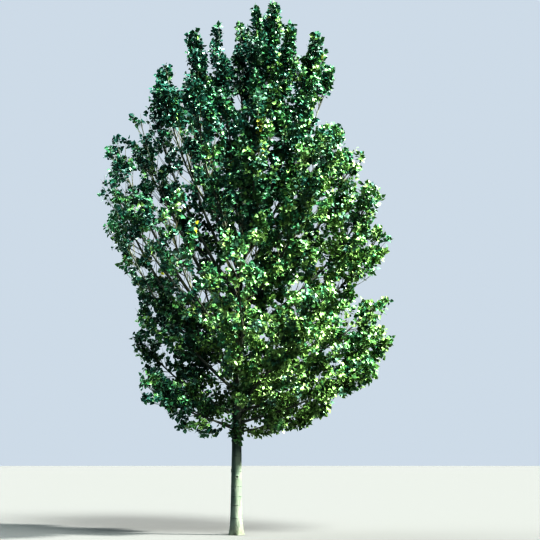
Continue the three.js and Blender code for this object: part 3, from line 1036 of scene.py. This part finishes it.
def grow_shoots():
    rule = (SHOOT_SPACING, SHOOT_FIRST, FEWEST_SIDE_SHOOTS, shoot_rng)
    parent, place, feet, stems, radials = set_round(twigs, *rule)
    lean = np.radians(lerp(*SHOOT_LEAN, place))
    alongs = unit(stems * np.cos(lean)[:, None] + radials * np.sin(lean)[:, None])
    lengths = SHOOT_LENGTH * (1 - SHOOT_SHORTENING * place) * shoot_rng.uniform(*SHOOT_SIZES, len(place))
    ends, end_alongs = at_share(twigs, 1)
    end_lengths = SHOOT_LENGTH * END_SHOOT * shoot_rng.uniform(*END_SHOOT_SIZES, len(ends))
    family = {
        "foot": np.vstack((feet, ends)),
        "along": np.vstack((alongs, end_alongs)),
        "length": np.append(lengths, end_lengths),
        "owner": np.append(twigs["owner"][parent], twigs["owner"]),
    }
    family["curl"] = SHOOT_CURL * (upwards + shoot_rng.normal(0, SHOOT_CURL_SPREAD, family["foot"].shape))
    family["thick"] = np.full(len(family["foot"]), SHOOT_RADIUS)
    return family


twigs = only(twigs, ~in_window(at_share(twigs, 1)[0]))
shoots = fit(grow_shoots(), *SHOOT_SPACE)
shoot_middles, _ = at_share(shoots, 0.5)
kept = shoot_rng.random(len(shoot_middles)) < fullness(shoot_middles)
kept &= ~left_out(shoot_middles, SHOOT_LANE, shoot_rng)
shoots = only(shoots, kept)
print("shoots:", len(shoots["foot"]), "mean length", round(shoots["length"].mean(), 2), "m")

# %% [markdown]
# ## Twigs as tubes
# Thousands of twigs that each follow a line are work for Geometry Nodes. The lines go in as bare edges,
# each point with its thickness, and the nodes sweep a small ring along them. Three or four sides are all
# that shows of a twig as thin as a pencil.


# %% Twig nodes
def node_group(name, inputs):
    """A Geometry Nodes tree with named inputs: the graph and the outputs of its input node by name."""
    tree = bpy.data.node_groups.new(name, "GeometryNodeTree")
    tree.interface.new_socket("Geometry", in_out="OUTPUT", socket_type="NodeSocketGeometry")
    for label, kind in {"Geometry": "Geometry", **inputs}.items():
        tree.interface.new_socket(label, in_out="INPUT", socket_type="NodeSocket" + kind)
    graph = Graph(tree)
    entry = tree.nodes.new("NodeGroupInput")
    return graph, {socket.name: socket for socket in entry.outputs if socket.name}


def close_group(graph, geometry, material):
    """Ends a tree in Realize Instances and Set Material."""
    real = graph.add("GeometryNodeRealizeInstances", {"Geometry": geometry})
    painted = graph.add("GeometryNodeSetMaterial", {"Geometry": real, "Material": material})
    leaving = graph.tree.nodes.new("NodeGroupOutput")
    graph.feed(leaving.inputs["Geometry"], painted)
    return graph.tree


def twig_group():
    graph, given = node_group("twigs_from_lines", {"Sides": "Int", "Material": "Material"})
    lines = graph.add("GeometryNodeMeshToCurve", {"Mesh": given["Geometry"]})
    ring = graph.add("GeometryNodeCurvePrimitiveCircle", {"Resolution": given["Sides"], "Radius": 1.0})
    sockets = {"Curve": lines, "Profile Curve": ring, "Scale": graph.read("thickness"), "Fill Caps": True}
    return close_group(graph, graph.add("GeometryNodeCurveToMesh", sockets), given["Material"])


def grown(name, mesh, tree, values):
    """An object with the plain mesh that a node tree makes from a mesh."""
    piece = new_object(name, mesh)
    modifier = piece.modifiers.new("grown", "NODES")
    modifier.node_group = tree
    for item in tree.interface.items_tree:
        if item.in_out == "INPUT" and item.name in values:
            modifier[item.identifier] = values[item.name]
    evaluated = piece.evaluated_get(bpy.context.evaluated_depsgraph_get())
    result = bpy.data.meshes.new_from_object(evaluated)
    piece.modifiers.remove(modifier)
    piece.data = result
    result.name = name
    return piece


def line_mesh(name, family, steps, tip_radius):
    """The twigs of a family as lines of edges, with their thickness at each point."""
    shares = np.linspace(0, 1, steps + 1)
    points = np.stack([at_share(family, share)[0] for share in shares], axis=1)
    thick = np.stack([lerp(family["thick"], tip_radius, share) for share in shares], axis=1)
    first = np.arange(points.shape[0] * (steps + 1)).reshape(-1, steps + 1)
    edges = np.stack((first[:, :-1], first[:, 1:]), axis=-1).reshape(-1, 2)
    mesh = bpy.data.meshes.new(name)
    mesh.from_pydata(points.reshape(-1, 3).tolist(), edges.tolist(), [])
    put_on_points(mesh, "thickness", thick)
    return mesh


twig_tree = twig_group()

# %% [markdown]
# ## Finishes
# The bark of the trunk is pale grey-green, with darker wrinkles and eyes, fine level pores, soft patches
# of algae and dust near the ground. Its left half is darker still: painted shade, added to the shade that
# the lamps give. The limbs are a little darker, the twigs browner. Leaves are plain colours: new ones are
# yellow-green, old ones deep green with a grey bloom, and a few turn yellow early.


# %% Material helpers
def cloud(graph, scale, detail, stretch=(1, 1, 1)):
    """Noise from 0 to 1 in object space, with a scale along each axis."""
    place = graph.add("ShaderNodeTexCoord", output="Object")
    fitted = graph.add("ShaderNodeMapping", {"Vector": place, "Scale": stretch})
    return graph.add("ShaderNodeTexNoise", {"Vector": fitted, "Scale": scale, "Detail": detail})


def along_axis(graph, axis):
    """How far along X, Y or Z a point of the object is, in metres."""
    place = graph.add("ShaderNodeTexCoord", output="Object")
    return graph.add("ShaderNodeSeparateXYZ", {0: place}, output=axis)


def coat(graph, colour, layers):
    """Each layer's colour goes over the last by its mask, and the shader gets the result."""
    for mask, over in layers:
        colour = blend(graph, mask, colour, over)
    graph.feed(graph.tree.nodes["Principled BSDF"].inputs["Base Color"], colour)


def roughen(graph, height, strength, distance):
    sockets = {"Height": height, "Strength": strength, "Distance": distance}
    bumps = graph.add("ShaderNodeBump", sockets)
    graph.feed(graph.tree.nodes["Principled BSDF"].inputs["Normal"], bumps)


# %% Bark of the trunk
PALE_BARK = (0.145, 0.165, 0.130, 1)
GREY_BARK = (0.095, 0.125, 0.095, 1)
MARK_BARK = (0.030, 0.032, 0.026, 1)
ALGAE = (0.065, 0.11, 0.055, 1)
DUST = (0.10, 0.09, 0.065, 1)
# Painted shade: a dark colour on the left (-X) side of the trunk, added to the lamps' own shade
PAINTED_SHADE_BARK = (0.028, 0.050, 0.045, 1)
PAINTED_SHADE_SIDE = (-0.055, 0.01)
DUST_HEIGHTS = (0.0, 0.45)


def trunk_finish():
    material, graph = finish_named("trunk_bark", Roughness=0.85)
    patches = cloud(graph, 5, 4, (1, 1, 0.5))
    grain = cloud(graph, 60, 3, (1, 1, 0.22))
    pores = cloud(graph, 42, 2, (1, 1, 5))
    mark = graph.add("ShaderNodeAttribute", output="Fac", attribute_name="mark")
    # Painted shade: the left side of the trunk is darkened
    shade_painted_left = 1 - along_axis(graph, "X").between(*PAINTED_SHADE_SIDE)
    dusty = (1 - along_axis(graph, "Z").between(*DUST_HEIGHTS)) * patches.between(0.2, 0.6)
    layers = (
        (patches.between(0.38, 0.66), GREY_BARK),
        (cloud(graph, 3, 5).between(0.52, 0.72) * 0.55, ALGAE),
        (shade_painted_left * (0.45 + patches * 0.5), PAINTED_SHADE_BARK),
        (grain.between(0.55, 0.8) * 0.35, GREY_BARK),
        (pores.between(0.64, 0.7) * 0.55, MARK_BARK),
        (dusty * 0.5, DUST),
        (mark.between(0.15, 0.8) * 0.85, MARK_BARK),
    )
    coat(graph, PALE_BARK, layers)
    roughen(graph, grain * 0.6 + pores.between(0.6, 0.72) * 0.5 + patches * 0.4, 0.45, 0.004)
    return material


trunk.data.materials.append(trunk_finish())

# %% Bark of the limbs and twigs
YOUNG_BARK = (0.14, 0.15, 0.125, 1)
YOUNG_BARK_SHADE = (0.09, 0.1, 0.085, 1)
TWIG_BROWN = (0.10, 0.085, 0.05, 1)
TWIG_GREEN = (0.13, 0.15, 0.06, 1)
SHOOT_RED = (0.16, 0.09, 0.05, 1)
SHOOT_GREEN = (0.16, 0.22, 0.07, 1)


def limb_finish():
    material, graph = finish_named("limb_bark", Roughness=0.75)
    patches = cloud(graph, 6, 4)
    pores = cloud(graph, 55, 2, (1, 1, 3))
    mark = graph.add("ShaderNodeAttribute", output="Fac", attribute_name="mark")
    layers = (
        (patches.between(0.35, 0.68), YOUNG_BARK_SHADE),
        (pores.between(0.62, 0.7) * 0.5, MARK_BARK),
        (mark * 0.5, MARK_BARK),
    )
    coat(graph, YOUNG_BARK, layers)
    roughen(graph, pores + patches, 0.35, 0.003)
    return material


def twig_finish(name, one, other):
    material, graph = finish_named(name, Roughness=0.6)
    coat(graph, one, ((cloud(graph, 9, 2).between(0.35, 0.65), other),))
    return material


limb_piece.data.materials.append(limb_finish())

# %% Grow the twigs
TWIG_STEPS = 4
TWIG_SIDES = 4
SHOOT_STEPS = 2
SHOOT_SIDES = 3

values = {"Sides": TWIG_SIDES, "Material": twig_finish("branchlet_bark", TWIG_BROWN, TWIG_GREEN)}
lines = line_mesh("branchlets", twigs, TWIG_STEPS, TWIG_TIP_RADIUS)
branchlet_piece = grown("branchlets", lines, twig_tree, values)
values = {"Sides": SHOOT_SIDES, "Material": twig_finish("shoot_bark", SHOOT_RED, SHOOT_GREEN)}
lines = line_mesh("shoots", shoots, SHOOT_STEPS, SHOOT_TIP_RADIUS)
shoot_piece = grown("shoots", lines, twig_tree, values)
print("twig faces:", len(branchlet_piece.data.polygons), len(shoot_piece.data.polygons))

# %% [markdown]
# ## One leaf
# A black poplar's leaf is a triangle with a broad foot and a drawn-out point, folded a little along its
# midrib, on a long thin stalk that lets it hang and flutter. Eight faces give that outline and fold, and
# one more is the stalk. Its blade is one unit long here, and the nodes scale it.

# %% Leaf pattern
STALK = 0.42
STALK_HALF_WIDTH = 0.014
BLADE_DROOP = math.radians(28)
BLADE_EDGE = ((0.02, 0.3, 0.05), (0.26, 0.48, 0.1), (0.62, 0.27, 0.05))
BLADE_MIDDLE = 0.42
TIP_CURL = -0.09


def on_blade(forward, sideways, lift):
    """A point of the blade, which hangs down from the end of the stalk."""
    y = STALK + forward * math.cos(BLADE_DROOP) + lift * math.sin(BLADE_DROOP)
    return (sideways, y, lift * math.cos(BLADE_DROOP) - forward * math.sin(BLADE_DROOP))


leaf_points = [on_blade(0, 0, 0), on_blade(BLADE_MIDDLE, 0, 0), on_blade(1, 0, TIP_CURL)]
leaf_points += [on_blade(forward, side, lift) for forward, side, lift in BLADE_EDGE]
leaf_points += [on_blade(forward, -side, lift) for forward, side, lift in BLADE_EDGE]
leaf_points += [(-STALK_HALF_WIDTH, 0, 0), (STALK_HALF_WIDTH, 0, 0)]
right_half = [(0, 3, 4), (0, 4, 1), (1, 4, 5), (1, 5, 2)]
left_half = [tuple(corner + 3 if corner > 2 else corner for corner in face[::-1]) for face in right_half]
leaf = mesh_object("leaf_pattern", leaf_points, right_half + left_half + [(9, 10, 0)])
print("leaf:", len(leaf.data.polygons), "faces")

# %% [markdown]
# ## Leaves on the shoots
# Leaves go round each shoot by the same angle. The stalk leaves sideways and a little forward, and the
# face of the blade looks up and outwards, as leaves turn to the light, with plenty of chance in it. The
# leaves of a shoot have one tint, so the colour changes from spray to spray. Deeper tints are dealt out
# towards the top and the left and lighter ones low down. The deeper left is painted shade, the deeper top
# is partly painted shade, and the lighter low leaves are painted light.

# %% Leaf places
LEAF_SPACING = 0.018
LEAF_FIRST = 0.08
LEAF_LENGTH = 0.1
LEAF_LANE = 0.05
STALK_MIX = (0.45, 0.95, 0.3)
FACE_MIX = (0.5, 0.4, 1.4)
# name, share of the shoots, how much more of it at the crown's rim, base colour
TINTS = (
    ("leaves_light", 0.18, 0.9, (0.175, 0.270, 0.104, 1)),
    ("leaves_young", 0.24, 0.5, (0.105, 0.213, 0.086, 1)),
    ("leaves_mid", 0.28, 0.0, (0.060, 0.166, 0.088, 1)),
    ("leaves_deep", 0.145, -0.6, (0.025, 0.094, 0.070, 1)),
    ("leaves_grey", 0.12, 0.3, (0.105, 0.190, 0.140, 1)),
    ("leaves_yellow", 0.002, 0.0, (0.220, 0.220, 0.030, 1)),
)
# Painted shade: deeper tints to the left, and in part at the top. Painted light: lighter tints low down
DEEPER_AT_TOP = 2.8
TOP_LEAVES = (5.0, 11.0)
SHADE_PAINTED_AT_LEFT = 3.2
LEFT_LEAVES = (-2.2, 2.2)
LIGHT_PAINTED_LOW = 2.4
LOW_LEAVES = (5.4, 3.4)
LOW_LEAVES_ACROSS = (-1.6, 0.0)
LOW_LEAVES_RIGHT = (3.0, 1.0)
LEAF_SEED = 29
FEWEST_LEAVES = 3
LEAF_SIZES = (0.8, 1.15)
SIZE_ALONG_SHOOT = (1.05, 0.85)
LENGTH_SPREAD = 0.12
FLUTTER = 0.35
FLUTTER_UP = -1.3
FLUTTER_TWIST = 0.4
LEAF_ROUGHNESS = 0.38
LEAF_SHINE = 0.5
leaf_rng = np.random.default_rng(LEAF_SEED)


def place_leaves():
    rule = (LEAF_SPACING, LEAF_FIRST, FEWEST_LEAVES, leaf_rng)
    parent, place, feet, stems, radials = set_round(shoots, *rule)
    chance = leaf_rng.normal(0, 1, (2, len(feet), 3))
    stalks = unit(stems * STALK_MIX[0] + radials * STALK_MIX[1] + chance[0] * STALK_MIX[2])
    outwards = feet * np.array((1.0, 1.0, 0.0))
    outwards = outwards / np.maximum(np.linalg.norm(outwards, axis=1, keepdims=True), 0.1)
    faces = unit(upwards * FACE_MIX[0] + outwards * FACE_MIX[1] + chance[1] * FACE_MIX[2])
    sizes = leaf_rng.uniform(*LEAF_SIZES, len(feet)) * lerp(*SIZE_ALONG_SHOOT, place)
    made = {"foot": feet, "stalk": stalks, "face": faces, "size": sizes, "shoot": parent}
    return only(made, ~left_out(feet + stalks * LEAF_LENGTH, LEAF_LANE, leaf_rng))


def deal_tints():
    """A tint for each shoot, by its place from heart to rim, with painted shade and painted light added."""
    ends, _ = at_share(shoots, 1)
    nearness, _ = claims(ends, shoots["owner"])
    # Deeper tints towards the top, partly painted shade
    rim_and_painted_light = np.clip(nearness, 0, 1) * 2 - 1 - DEEPER_AT_TOP * ramp(ends[:, 2], *TOP_LEAVES)
    # Painted shade: deeper tints towards the left
    rim_and_painted_light += SHADE_PAINTED_AT_LEFT * (ramp(ends[:, 0], *LEFT_LEAVES) - 0.5)
    # Painted light: lighter tints low down, less so at the far right
    low = ramp(ends[:, 2], *LOW_LEAVES) * ramp(ends[:, 0], *LOW_LEAVES_ACROSS)
    rim_and_painted_light += LIGHT_PAINTED_LOW * low * ramp(ends[:, 0], *LOW_LEAVES_RIGHT)
    weights = np.array([share * np.exp(tilt * rim_and_painted_light) for _, share, tilt, _ in TINTS])
    limits = np.cumsum(weights / weights.sum(axis=0), axis=0)
    return (leaf_rng.random(len(ends)) > limits[:-1]).sum(axis=0)


leaves = place_leaves()
tint_of_shoot = deal_tints()
print("leaves:", len(leaves["foot"]))


# %% Leaf nodes
def leaf_group():
    inputs = {"Leaf": "Object", "Length": "Float", "Length spread": "Float", "Flutter": "Float"}
    graph, given = node_group("leaves_on_points", {**inputs, "Seed": "Int", "Material": "Material"})

    def chance(low, high):
        sockets = {2: low, 3: high, "Seed": given["Seed"]}
        return graph.add("FunctionNodeRandomValue", sockets, output=1, data_type="FLOAT")

    spread = Pattern(graph, given["Length spread"])
    size = Pattern(graph, given["Length"]) * graph.read("size") * chance(1 - spread, 1 + spread)
    sockets = {0: graph.read("stalk", "FLOAT_VECTOR"), 1: graph.read("face", "FLOAT_VECTOR")}
    axes = {"primary_axis": "Y", "secondary_axis": "Z"}
    held = graph.add("FunctionNodeAxesToRotation", sockets, **axes)
    swing = chance(-1.0, 1.0) * Pattern(graph, given["Flutter"])
    sockets = {"X": swing, "Y": swing * FLUTTER_UP, "Z": swing * FLUTTER_TWIST}
    angles = graph.add("ShaderNodeCombineXYZ", sockets)
    sockets = {"Rotation": held, "Rotate By": graph.add("FunctionNodeEulerToRotation", {0: angles})}
    rotation = graph.add("FunctionNodeRotateRotation", sockets, rotation_space="LOCAL")
    pattern = graph.add("GeometryNodeObjectInfo", {"Object": given["Leaf"]}, output="Geometry")
    sockets = {"Points": given["Geometry"], "Instance": pattern, "Rotation": rotation, "Scale": size}
    return close_group(graph, graph.add("GeometryNodeInstanceOnPoints", sockets), given["Material"])


leaf_tree = leaf_group()


def leaf_points_mesh(name, chosen):
    mesh = bpy.data.meshes.new(name)
    mesh.from_pydata(leaves["foot"][chosen].tolist(), [], [])
    for label in ("stalk", "face"):
        put_on_points(mesh, label, leaves[label][chosen], "FLOAT_VECTOR", "vector")
    put_on_points(mesh, "size", leaves["size"][chosen])
    return mesh


leaf_pieces = []
for number, (name, _, _, colour) in enumerate(TINTS):
    chosen = tint_of_shoot[leaves["shoot"]] == number
    gloss = {"Roughness": LEAF_ROUGHNESS, "Specular_IOR_Level": LEAF_SHINE}
    paint, _ = finish_named(name, Base_Color=colour, **gloss)
    values = {"Leaf": leaf, "Length": LEAF_LENGTH, "Length spread": LENGTH_SPREAD}
    values.update({"Flutter": FLUTTER, "Seed": number, "Material": paint})
    leaf_pieces.append(grown(name, leaf_points_mesh(name, chosen), leaf_tree, values))
    print(name, chosen.sum(), "leaves", len(leaf_pieces[-1].data.polygons), "faces")
bpy.data.objects.remove(leaf)

# %% [markdown]
# ## Hand over to the frame
# Every piece rides on the one body, and the solids that it stands for are hidden.

# %% Rides and replaced nodes
for piece, slot, nodes in (
    (trunk, "trunk_bark", ["trunk"]),
    (limb_piece, "limb_bark", bough_nodes),
    (branchlet_piece, "limb_bark", foliage_nodes),
    (shoot_piece, "foliage", foliage_nodes),
    *((piece, "foliage", foliage_nodes) for piece in leaf_pieces),
):
    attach(piece, "root")
    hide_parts(*nodes)
